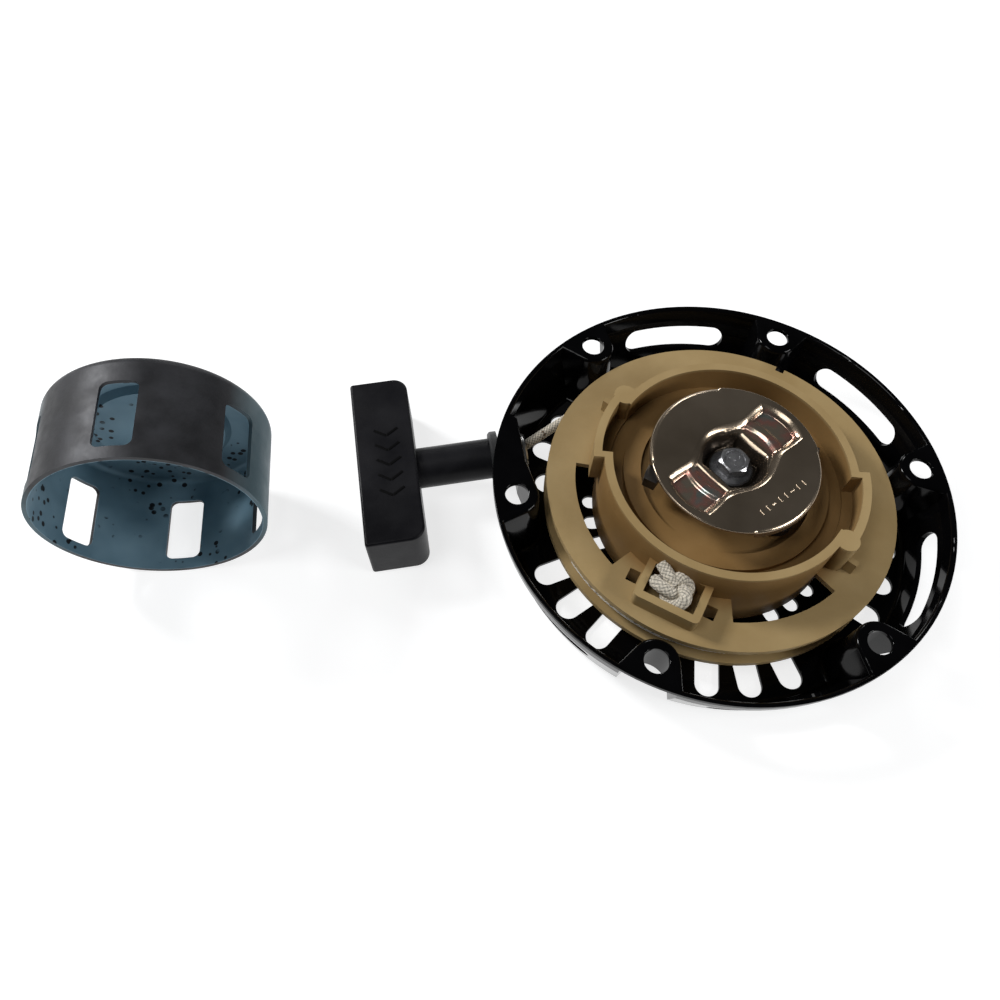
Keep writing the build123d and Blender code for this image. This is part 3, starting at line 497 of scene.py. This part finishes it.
def braid(name, points, d=3.8, step=0.28, around=32, closed=False, seed=1, squash=1.0, cap=True, tilt=None,
          flecks=0.3):
    """Braided cord along a line: two sets of yarns that pass over and under each other."""
    p, s = resample(points, step)
    if closed:
        p, s = p[:-1], s[:-1]
    tan, a, c = frames(p, closed)
    n = len(p)
    phi = np.arange(around) / around * 2 * math.pi
    length = s[-1] + (s[1] - s[0] if closed else 0)
    cells = max(1, round(length / 2.9))
    q = s / length * cells
    S, P = np.meshgrid(q, phi / (2 * math.pi) * 8, indexing="ij")
    u, v = S * 2 + P, P - S * 2
    fu, fv = u - np.floor(u), v - np.floor(v)
    over = ((np.floor(u) + np.floor(v)) % 2) == 0
    across = np.where(over, fu, fv)
    along = np.where(over, fv, fu)
    h = (1 - (2 * across - 1) ** 2) * (1 - 0.45 * (2 * along - 1) ** 2)
    r = d / 2 * (0.87 + 0.15 * h)
    pts = (p[:, None, :] + r[..., None] * (np.cos(phi)[None, :, None] * a[:, None, :]
                                           + squash * np.sin(phi)[None, :, None] * c[:, None, :]))
    if tilt is not None:
        k = np.asarray(tilt(s / length))
        off = (pts - p[:, None, :])
        up = off @ np.array((0, 0, 1.0))
        pts = pts + up[..., None] * k[:, None, None] * tan[:, None, :]
    verts = pts.reshape(-1, 3)
    faces = []
    for i in range(n if closed else n - 1):
        i2 = (i + 1) % n
        for j in range(around):
            j2 = (j + 1) % around
            faces.append((i * around + j, i * around + j2, i2 * around + j2, i2 * around + j))
    rng = np.random.default_rng(seed)
    dark_u = rng.random(64) < 0.16
    dark_v = rng.random(64) < 0.16
    cell_noise = rng.random((97, 89))
    iu, iv = np.floor(u).astype(int), np.floor(v).astype(int)
    isdark = np.where(over, dark_u[iu % 8 + 8], dark_v[iv % 8 + 8])
    fleck = cell_noise[iu % 97, iv % 89]
    cream = np.array((0.96, 0.89, 0.76))
    brown = np.array((0.30, 0.20, 0.125))
    tone = 0.90 + 0.22 * cell_noise[(iu * 3) % 97, (iv * 5) % 89]
    col = cream[None, None, :] * tone[..., None]
    hit = (isdark & (fleck < flecks)) | (fleck < 0.1 * flecks)
    col = np.where(hit[..., None], brown[None, None, :] * (0.7 + 0.6 * fleck[..., None]), col)
    # painted shade: each yarn is darkened towards the gaps between yarns
    col = col * (0.03 + 0.97 * np.clip(h * 1.2, 0, 1))[..., None]
    if cap and not closed:
        verts = np.vstack([verts, p[0] - tan[0] * 0.35, p[-1] + tan[-1] * 0.35])
        for j in range(around):
            j2 = (j + 1) % around
            faces.append((len(verts) - 2, j2, j))
            faces.append((len(verts) - 1, (n - 1) * around + j, (n - 1) * around + j2))
    o = mesh_object(name, verts, faces, M["rope"])
    ca = o.data.color_attributes.new("yarn", "FLOAT_COLOR", "POINT")
    rgba = np.ones((len(verts), 4))
    rgba[:n * around, :3] = col.reshape(-1, 3)
    rgba[n * around:, :3] = cream * 0.5
    ca.data.foreach_set("color", rgba.ravel())
    return o


def join(objs, name):
    bpy.ops.object.select_all(action="DESELECT")
    for o in objs:
        o.select_set(True)
    bpy.context.view_layer.objects.active = objs[0]
    bpy.ops.object.join()
    objs[0].name = name
    objs[0].data.name = name
    return objs[0]


def smoothstep(x):
    x = np.clip(x, 0, 1)
    return x * x * (3 - 2 * x)


# ------------------------------------------------------------------ friction plate
PLATE_TOP, PLATE_R, CH = 16.3, 30.8, math.radians(35)


def rolled(d, width):
    """Drop of a pressed wall at a distance d inside its upper edge: a broad sloping shoulder, then a steep side."""
    g = np.linspace(0, 16, 801)
    ang = np.interp(g, [0, 0.45, width, width + 0.5, 16], [4, 27, 41, 62, 64])
    drop = np.concatenate([[0], np.cumsum(np.tan(np.radians((ang[1:] + ang[:-1]) / 2)) * (g[1] - g[0]))])
    return np.interp(np.clip(d, 0, 16), g, drop)


def plate_height(x, y):
    u = x * math.cos(CH) + y * math.sin(CH)
    v = -x * math.sin(CH) + y * math.cos(CH)
    r = np.hypot(x, y)
    au, av = np.abs(u), np.abs(v)
    q = au + (r - au) * smoothstep((au - 11) / 4)          # steps of the pads curve round the middle
    keys_u = [0, 11.4, 13.0, 14.2, 16.6, 18.0, 19.8, 22.0, 60]
    keys_h = [-1.9, -1.9, -2.45, -2.45, -1.35, -1.35, -2.4, -2.5, -2.5]
    prof = np.zeros_like(u)
    for k in range(len(keys_u) - 1):
        w = (q - keys_u[k]) / (keys_u[k + 1] - keys_u[k])
        inside = (w >= 0) & (w < 1)
        prof = np.where(inside, keys_h[k] + (keys_h[k + 1] - keys_h[k]) * smoothstep(w), prof)
    half = 9.6 + 0.8 * smoothstep((au - 12) / 10)
    wing = np.minimum(half - av, 28.9 - q - 0.012 * av ** 2)
    both = np.maximum(wing, 14.2 - r)                      # one outline, with rounded inner corners
    both = both + 6.0 * np.clip(1 - np.abs(wing - 14.2 + r) / 6.0, 0, None) ** 2 / 4
    cosf = np.clip(au / np.maximum(r, 1e-6), 1e-3, 1)
    pad = smoothstep((8.8 - av) / 3.0)
    top = 14.2 + (np.minimum(14.2, 11.2 / cosf) - 14.2) * pad
    deep = np.maximum(-7.8, -1.9 * pad * smoothstep((top + 1.5 - r) / 1.5) - rolled(top - r, 1.9))
    return np.maximum(np.minimum(prof, deep), -rolled(both, 2.1))


def build_plate():
    nth = 400
    radii = np.r_[np.linspace(3.3, 7.6, 3), np.linspace(8.0, 14.2, 22), np.linspace(14.5, 29.9, 62), 30.2]
    th = np.arange(nth) / nth * 2 * math.pi
    deg = np.degrees(th)

    def lip_of(a0, a1):
        return smoothstep((deg - a0) / 2.0) * smoothstep((a1 - deg) / 2.0)
    lip = lip_of(88, 181) + lip_of(268, 361.5) + smoothstep((1.5 - deg) / 1.5)
    lip = np.clip(lip, 0, 1)
    rows = []
    for r in radii:
        x, y = r * np.cos(th), r * np.sin(th)
        rows.append(np.stack([x, y, PLATE_TOP + plate_height(x, y) - 0.42 * lip * max(0.0, (r - 29.0) / 1.2) ** 2], 1))
    for r, z, k in ((30.50, -0.06, 0.62), (30.72, -0.26, 0.85), (30.80, -0.55, 1.2), (30.80, -1.05, 2.2),
                    (30.68, -1.30, 2.45), (30.3, -1.40, 2.55), (29.6, -1.38, 2.5), (29.45, -1.36, 1.2),
                    (29.3, -1.40, 0.05)):
        rows.append(np.stack([r * np.cos(th), r * np.sin(th), PLATE_TOP + z - k * lip], 1))
    for r in radii[::-1][1::3]:
        x, y = r * np.cos(th), r * np.sin(th)
        rows.append(np.stack([x, y, PLATE_TOP - 1.4 + plate_height(x * 1.0, y)], 1))
    verts = np.concatenate(rows)
    m = len(rows)
    faces = []
    for i in range(m):
        i2 = (i + 1) % m
        for j in range(nth):
            j2 = (j + 1) % nth
            faces.append((i * nth + j, i2 * nth + j, i2 * nth + j2, i * nth + j2))
    o = mesh_object("drive_plate", verts, faces, M["plate"])
    x, y = verts[:, 0], verts[:, 1]
    u = np.abs(x * math.cos(CH) + y * math.sin(CH))
    v = np.abs(-x * math.sin(CH) + y * math.cos(CH))
    tint = smoothstep((8.2 - v) / 1.6) * smoothstep((u - 11.8) / 2) * smoothstep((26.4 - u) / 1.5)
    at = o.data.attributes.new("tint", "FLOAT", "POINT")
    at.data.foreach_set("value", tint)
    # painted shade mask: how strongly the middle recess is darkened
    recess_shade = smoothstep((13.2 - np.hypot(x, y)) / 2.5) * smoothstep((11 - u) / 2)
    at = o.data.attributes.new("recess_shade", "FLOAT", "POINT")
    at.data.foreach_set("value", 0.82 * recess_shade)
    return o


plate = build_plate()
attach(plate, "housing")
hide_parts("friction_plate")


def bars(name, items, mat, body, z_lift=0.12):
    """Small raised strokes, each a rounded bar: (centre, direction, length, width, height)."""
    verts, faces = [], []
    for (c, d, ln, w, hgt) in items:
        c, d = np.asarray(c, float), np.asarray(d, float)
        d = d / np.linalg.norm(d)
        s = np.cross((0, 0, 1.0), d)
        k = len(verts)
        for (sx, sy, z) in ((1, 1, -0.3), (1, -1, -0.3), (-1, -1, -0.3), (-1, 1, -0.3),
                            (1, 1, 0.6), (1, -1, 0.6), (-1, -1, 0.6), (-1, 1, 0.6),
                            (0.9, 0.6, 1), (0.9, -0.6, 1), (-0.9, -0.6, 1), (-0.9, 0.6, 1)):
            verts.append(c + d * sx * ln / 2 + s * sy * w / 2 + np.array((0, 0, z * hgt)))
        for j in range(4):
            j2 = (j + 1) % 4
            faces += [(k + j, k + j2, k + 4 + j2, k + 4 + j), (k + 4 + j, k + 4 + j2, k + 8 + j2, k + 8 + j)]
        faces.append((k + 8, k + 9, k + 10, k + 11))
    o = mesh_object(name, verts, faces, mat, smooth=False)
    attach(o, body)
    return o


ticks = []
p0, p1 = np.array((3.5, -23.2, PLATE_TOP)), np.array((21.5, -12.4, PLATE_TOP))
dirn = (p1 - p0) / np.linalg.norm(p1 - p0)
side = np.array((-dirn[1], dirn[0], 0))
for i in range(8):
    c = p0 + (p1 - p0) * (i / 7)
    if i % 3 == 2:
        ticks.append((c, dirn, 1.6, 0.45, 0.13))
    else:
        ticks.append((c, side, 2.1, 0.45, 0.13))
bars("plate_ticks", ticks, M["plate"], "housing")

# ring of short strokes in the dished top of the bolt
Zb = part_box("centre_bolt")[1].z / MM - 0.5
marks = []
for i in range(3):
    a = 25 + 120 * i
    marks.append((polar(2.3, a, Zb), polar(1, a + 60), 1.2, 0.3, 0.09))
marks.append(((0, 0, Zb), (1, 0.4, 0), 1.1, 0.3, 0.09))
bars("bolt_marks", marks, M["bolt"], "housing")

# ------------------------------------------------------------------ rope on the drum
def ring_points(r_of, z):
    a = np.linspace(0, 360, 721)
    r = np.array([r_of(x) for x in a])
    return np.stack([r * np.cos(np.radians(a)), r * np.sin(np.radians(a)), np.full_like(a, z)], 1)


def bulge(a):
    return 2.9 * float(smoothstep((a - 192) / 12) * smoothstep((252 - a) / 14))


turns = [braid("turn_a", ring_points(lambda a: 60.6 + bulge(a) + 0.15 * math.sin(math.radians(3 * a)), -8.25), closed=True, step=0.42, around=24, seed=3),
         braid("turn_b", ring_points(lambda a: 61.2, -12.4), closed=True, step=0.42, around=24, seed=4)]
winding = join(turns, "rope_turns")
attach(winding, "pulley")
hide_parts("rope_winding")


def rounded(points, radius):
    """Polyline with its inner corners turned into arcs."""
    p = [np.asarray(q, float) for q in points]
    out = [p[0]]
    for i in range(1, len(p) - 1):
        a, b = p[i - 1] - p[i], p[i + 1] - p[i]
        la, lb = np.linalg.norm(a), np.linalg.norm(b)
        a, b = a / la, b / lb
        ang = math.acos(np.clip(a @ b, -1, 1))
        cut = min(radius / math.tan(ang / 2), la * 0.49, lb * 0.49)
        s, e = p[i] + a * cut, p[i] + b * cut
        for t in np.linspace(0, 1, 12):
            out.append((1 - t) ** 2 * s + 2 * t * (1 - t) * p[i] + t * t * e)
    out.append(p[-1])
    return out


foot, start, corner = (-32.672, 51.986, -10.5), (-52.14, 39.751, -11.047), (-77.0, 24.126, -11.745)
AX = np.array((0.99863, 0.05234, 0.0))          # from the handle to the pan, level
TILT = math.radians(4.2)
PULL = AX * math.cos(TILT) + np.array((0, 0, math.sin(TILT)))
UP = np.array((0, 0, math.cos(TILT))) - AX * math.sin(TILT)
BAR = np.array((-123.3, 21.7, -15.15))          # middle of the handle's bar
far = np.array(corner) - PULL * 6.0
run = braid("rope_to_guide", rounded([foot, start, corner, far], 16.0), step=0.22, around=40, seed=7)
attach(run, "housing")
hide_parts("rope_run")

near, end = np.array(corner) - PULL * 0.5, np.array(corner) - PULL * 7.7       # from the guide to the stem's mouth
stretch = braid("rope_pulled", [near, end], step=0.1, around=32, seed=8,
                tilt=lambda f: 0.55 * np.sin(np.clip(f, 0, 1) * math.pi) ** 0.5)
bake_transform(stretch)

# ------------------------------------------------------------------ knot in its box
BOX = 236.5
bx, by = polar(1, BOX), np.array((-math.sin(math.radians(BOX)), math.cos(math.radians(BOX)), 0))
centre = polar(51.6, BOX, 1.6)


def knot_point(t):
    x = (math.sin(t) + 2 * math.sin(2 * t)) * 1.70
    y = (math.cos(t) - 2 * math.cos(2 * t)) * 2.30
    z = -math.sin(3 * t) * 2.0
    return centre + bx * x + by * y + np.array((0, 0, z))


knot = braid("knot_loop", [knot_point(t) for t in np.linspace(0, 2 * math.pi, 260)], closed=True, step=0.25,
             around=32, seed=11, d=4.5, flecks=0.04)
t0 = centre - by * 0.6 - bx * 1.2 + np.array((0, 0, 1.0))
tail = braid("knot_tail", rounded([t0, t0 - by * 2.6 - bx * 1.4 + np.array((0, 0, 1.6)),
                                   t0 - by * 7.0 - bx * 4.4 + np.array((0, 0, 2.6))], 4.0),
             step=0.25, around=32, seed=12, d=4.6, flecks=0.04)
down0 = centre - bx * 1.0 + by * 3.0
down = braid("knot_lead", [down0 + np.array((0, 0, -0.5)), polar(51.0, BOX, -3.0) + by * 4.5, polar(51.0, BOX, -7.0) + by * 4.5],
             step=0.25, around=28, seed=13)
anchor = join([knot, tail, down], "rope_knot")
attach(anchor, "pulley")
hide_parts("rope_anchor_knot")

# ------------------------------------------------------------------ marks on the handle, coloured dark as painted shade of recessed lettering
chev = []
NY = np.array((-AX[1], AX[0], 0))
for i in range(5):
    base = BAR + UP * 11.0 + PULL * 1.0 + NY * (i - 2.3) * 6.6
    for sgn in (-1, 1):
        chev.append((base + PULL * sgn * 2.3, (NY * 1.0 + PULL * sgn * 1.5) * sgn, 5.4, 1.0, 0.22))
bars("handle_marks", chev, M["mark"], "handle")

# ------------------------------------------------------------------ floor
fl = bpy.data.meshes.new("floor")
z = lo0.z - 0.0001
fl.from_pydata([(-4, -4, z), (4, -4, z), (4, 4, z), (-4, 4, z)], [], [(0, 1, 2, 3)])
floor = bpy.data.objects.new("floor", fl)
bpy.context.scene.collection.objects.link(floor)
fm = bpy.data.materials.new("floor_white")
fm.use_nodes = True
fm.node_tree.nodes["Principled BSDF"].inputs["Base Color"].default_value = (0.42, 0.425, 0.43, 1)
fm.node_tree.nodes["Principled BSDF"].inputs["Roughness"].default_value = 0.75
fm.node_tree.nodes["Principled BSDF"].inputs["Specular IOR Level"].default_value = 0.2
fm.node_tree.nodes["Principled BSDF"].inputs["Emission Color"].default_value = (1.0, 1.0, 1.0, 1)
fm.node_tree.nodes["Principled BSDF"].inputs["Emission Strength"].default_value = 0.77
fl.materials.append(fm)
